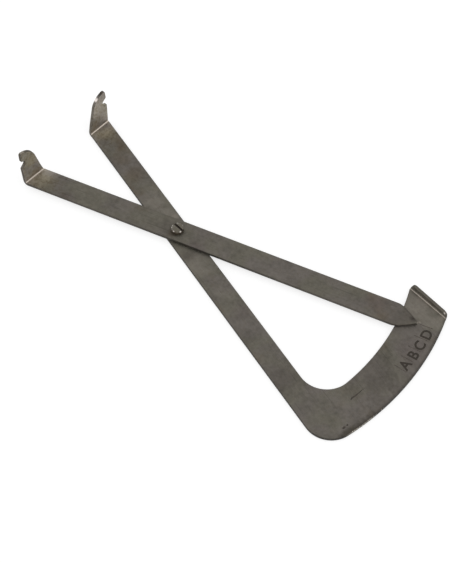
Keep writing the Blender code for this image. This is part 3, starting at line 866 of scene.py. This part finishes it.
def fold_weight(place, folds):
    """How much painted highlight a point in the hollow of a fold takes: most where the fold says, 0 on the
    flat.
    """
    best = 0.0
    for fold in folds:
        outward = polar(1, fold.degrees)
        flat = place.to_2d() - fold.middle
        across = flat.dot(left_of(outward))
        out = flat.dot(outward)
        drop = fold.level + SHEET + BEND_RADIUS - place.z
        if abs(across) > fold.half or out < -QUARTER_SLACK or drop < -QUARTER_SLACK:
            continue
        if abs(math.hypot(out, drop) - BEND_RADIUS) > CIRCLE_SLACK:
            continue
        near_end = min(max((across / fold.half - BRIGHT_FROM) / BRIGHT_SPAN, 0), 1)
        share = fold.shine + (fold.end_shine - fold.shine) * near_end
        round_bend = math.degrees(math.atan2(max(out, 0), max(drop, 0)))
        best = max(best, share * math.sin(math.pi * min(round_bend / (2 * fold.brightest), 1)))
    return best


def part_cuts(mesh):
    """Makes sharp the edges where two materials meet, so a shallow cut leaves the face round it flat."""
    sides = {}
    for face in mesh.polygons:
        for key in face.edge_keys:
            sides.setdefault(key, set()).add(face.material_index)
    for line in mesh.edges:
        line.use_edge_sharp = line.use_edge_sharp or len(sides[line.key]) > 1


def finish_surface(item, folds):
    """Smooth shading, sharp round each cut, and the masks that the steel's material reads for painted
    shade, painted light and painted highlights.
    """
    mesh = item.data
    mesh.shade_smooth()
    mesh.set_sharp_from_angle(angle=math.radians(ARM_CORNER))
    part_cuts(mesh)
    edge = mesh.attributes.new("edge", "FLOAT", "FACE")
    inner = mesh.attributes.new("inner", "FLOAT", "FACE")
    for face in mesh.polygons:
        edge.data[face.index].value = wall_shade_share(face, folds)
        # Faces turned up or towards the pivot, which take painted light by the jaws.
        inner.data[face.index].value = float(max(face.normal.z, face.normal.x) > BROAD_SLANT)
    fold = mesh.attributes.new("fold", "FLOAT", "POINT")
    for vert in mesh.vertices:
        fold.data[vert.index].value = fold_weight(vert.co, folds)
    modifier = item.modifiers.new("face_weights", "WEIGHTED_NORMAL")
    modifier.mode = "FACE_AREA"
    modifier.weight = 50
    modifier.keep_sharp = True


def screw_profile():
    """The screw's outline as radii and heights, from the middle of its lower end to the top's."""
    flat = HEAD_RADIUS - HEAD_ROUNDING
    round_from = HEAD_TOP - HEAD_DOME - HEAD_ROUNDING
    profile = [(0, 0), (RIVET_RADIUS, 0)]
    profile += [(SHANK_RADIUS, RIVET_RADIUS - SHANK_RADIUS), (SHANK_RADIUS, HEAD_SEAT)]
    profile += [(HEAD_RADIUS - HEAD_BEVEL, HEAD_SEAT), (HEAD_RADIUS, HEAD_SEAT + HEAD_BEVEL)]
    for step in range(HEAD_STEPS + 1):
        turn = math.radians(90 * step / HEAD_STEPS)
        profile.append((flat + HEAD_ROUNDING * math.cos(turn), round_from + HEAD_ROUNDING * math.sin(turn)))
    for share in (0.75, 0.5, 0.25, 0.0):
        radius = flat * share
        profile.append((radius, HEAD_TOP - HEAD_DOME * (radius / flat) ** 2))
    return profile


def turned_screw(material, slot_shade_material):
    """The screw as turned and riveted: domed head with a rounded rim, slot, shank and flush lower end."""
    body = bmesh.new()
    verts = [body.verts.new((radius, 0, height)) for radius, height in screw_profile()]
    edges = [body.edges.new(pair) for pair in zip(verts, verts[1:])]
    bmesh.ops.spin(body, geom=verts + edges, axis=(0, 0, 1), angle=2 * math.pi, steps=SCREW_SIDES)
    bmesh.ops.remove_doubles(body, verts=body.verts[:], dist=1e-7)
    item = closed_object("pivot_screw_turned", body, material)
    slot = bmesh.new()
    place = Matrix.Rotation(math.radians(SLOT_TURN), 4, "Z")
    place @= Matrix.Translation((0, SLOT_OFFSET, HEAD_TOP))
    place @= Matrix.Diagonal((3 * HEAD_RADIUS, SLOT_WIDTH, 2 * SLOT_DEPTH, 1))
    bmesh.ops.create_cube(slot, size=1, matrix=place)
    cut(item, closed_object("slot_cutter", slot, slot_shade_material))
    item.data.shade_smooth()
    item.data.set_sharp_from_angle(angle=math.radians(SCREW_CORNER))
    return item


def make_floor():
    """A white table that the camera and polished metal see as white, and that keeps the soft shadow."""
    body = bmesh.new()
    bmesh.ops.create_grid(body, x_segments=1, y_segments=1, size=FLOOR_SIZE / 2)
    bmesh.ops.translate(body, verts=body.verts[:], vec=(0, 0, -FLOOR_DROP))
    material, tree = new_material("white_table")
    tree.nodes.clear()
    plain = tree.add("ShaderNodeBsdfDiffuse", {"Color": FLOOR_TONE}).outputs[0]
    thin = tree.add("ShaderNodeBsdfDiffuse", {"Color": FLOOR_SEEN}).outputs[0]
    glow = tree.add("ShaderNodeEmission", {"Color": WHITE, "Strength": FLOOR_GLOW}).outputs[0]
    white = tree.add("ShaderNodeAddShader", {0: thin, 1: glow}).outputs[0]
    both = tree.add("ShaderNodeMixShader", {0: tree.seen(), 1: plain, 2: white}).outputs[0]
    tree.add("ShaderNodeOutputMaterial", {"Surface": both})
    floor = body_object("white_table", body, material)


def make_world():
    """Even white surroundings; the camera and polished metal see them at full white."""
    world = bpy.data.worlds.new("studio")
    bpy.context.scene.world = world
    world.use_nodes = True
    tree = Tree(world.node_tree)
    tree.nodes.clear()
    plain = tree.add("ShaderNodeBackground", {"Color": WHITE, "Strength": WORLD_LEVEL}).outputs[0]
    white = tree.add("ShaderNodeBackground", {"Color": WHITE, "Strength": 1.0}).outputs[0]
    both = tree.add("ShaderNodeMixShader", {0: tree.seen(), 1: plain, 2: white}).outputs[0]
    tree.add("ShaderNodeOutputWorld", {"Surface": both})


def aimed(name, data, azimuth, elevation, distance):
    """A lamp or camera as an object that looks at the target from a direction."""
    item = new_object(name, data)
    way = direction(azimuth, elevation)
    item.location = TARGET + way * distance
    item.rotation_euler = way.to_track_quat("Z", "Y").to_euler()
    return item


def make_lamps():
    """Two low soft lamps, one on each side of the camera."""
    for name, azimuth, elevation, distance, width, height, power in LAMPS:
        lamp = bpy.data.lights.new(name, "AREA")
        lamp.shape = "RECTANGLE"
        lamp.size = width
        lamp.size_y = height
        lamp.energy = power
        aimed(name, lamp, azimuth, elevation, distance)


def make_camera():
    """The camera at the photograph's view."""
    camera = bpy.data.cameras.new("camera")
    camera.lens = LENS
    item = aimed("camera", camera, CAMERA_AZIMUTH, CAMERA_ELEVATION, CAMERA_DISTANCE)
    bpy.context.scene.camera = item


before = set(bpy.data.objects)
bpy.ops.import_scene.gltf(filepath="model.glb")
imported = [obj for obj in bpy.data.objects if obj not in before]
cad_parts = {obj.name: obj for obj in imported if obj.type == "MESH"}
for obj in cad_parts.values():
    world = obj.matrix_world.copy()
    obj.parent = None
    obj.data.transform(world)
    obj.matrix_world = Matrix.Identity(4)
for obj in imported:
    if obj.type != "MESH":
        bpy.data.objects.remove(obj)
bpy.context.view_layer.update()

make_camera()
make_world()
make_lamps()
make_floor()
bpy.context.scene.view_settings.view_transform = "Standard"

groups = (mottle_group(), grain_group(), patch_group())
sector_steel = steel_material(
    "sector_arm_steel",
    grain_turn=HALF_OPENING,
    shift=(0, 0, 0),
    brown_share=0.40,
    stains=SECTOR_STAINS,
    groups=groups,
)
pointer_steel = steel_material(
    "pointer_arm_steel",
    grain_turn=-HALF_OPENING,
    shift=(0.4, 0.1, 0),
    brown_share=0.38,
    stains=POINTER_STAINS,
    groups=groups,
)
screw_steel = screw_material(groups)
letter_dark = mark_material("letter_black", LETTER_TONE, roughness=0.65, metallic=0.3, grain=2500.0)
tick_dark = mark_material("tick_shade", TICK_TONE, roughness=0.5, metallic=0.8, grain=1500.0)
gouge_dark = mark_material("gouge_shade", GOUGE_TONE, roughness=0.5, metallic=0.7, grain=900.0)
bare = mark_material("bare_steel", BARE_TONE, roughness=0.35, metallic=1.0, grain=3000.0)
# The slot's bottom is painted shade.
slot_shade = mark_material("slot_shade", SLOT_SHADE_TONE, roughness=0.6, metallic=0.4, grain=1800.0)

sector = merged_copy("sector_arm", "sector_arm_finished", sector_steel)
cut(
    sector,
    letter_bodies(letter_dark),
    grown("tick_cutter", tick_tree(tick_dark), tick_dark),
    grown("chip_cutter", chip_tree(bare), bare),
    scratch_body(gouge_dark),
    dent_bodies(gouge_dark),
)
finish_surface(sector, (SECTOR_JAW_FOLD, STOP_FOLD))
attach(sector, "sector_arm")
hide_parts("sector_arm")

pointer = merged_copy("pointer_arm", "pointer_arm_finished", pointer_steel)
finish_surface(pointer, (POINTER_JAW_FOLD,))
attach(pointer, "pointer_arm")
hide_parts("pointer_arm")

screw = turned_screw(screw_steel, slot_shade)
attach(screw, "sector_arm")
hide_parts("pivot_screw")
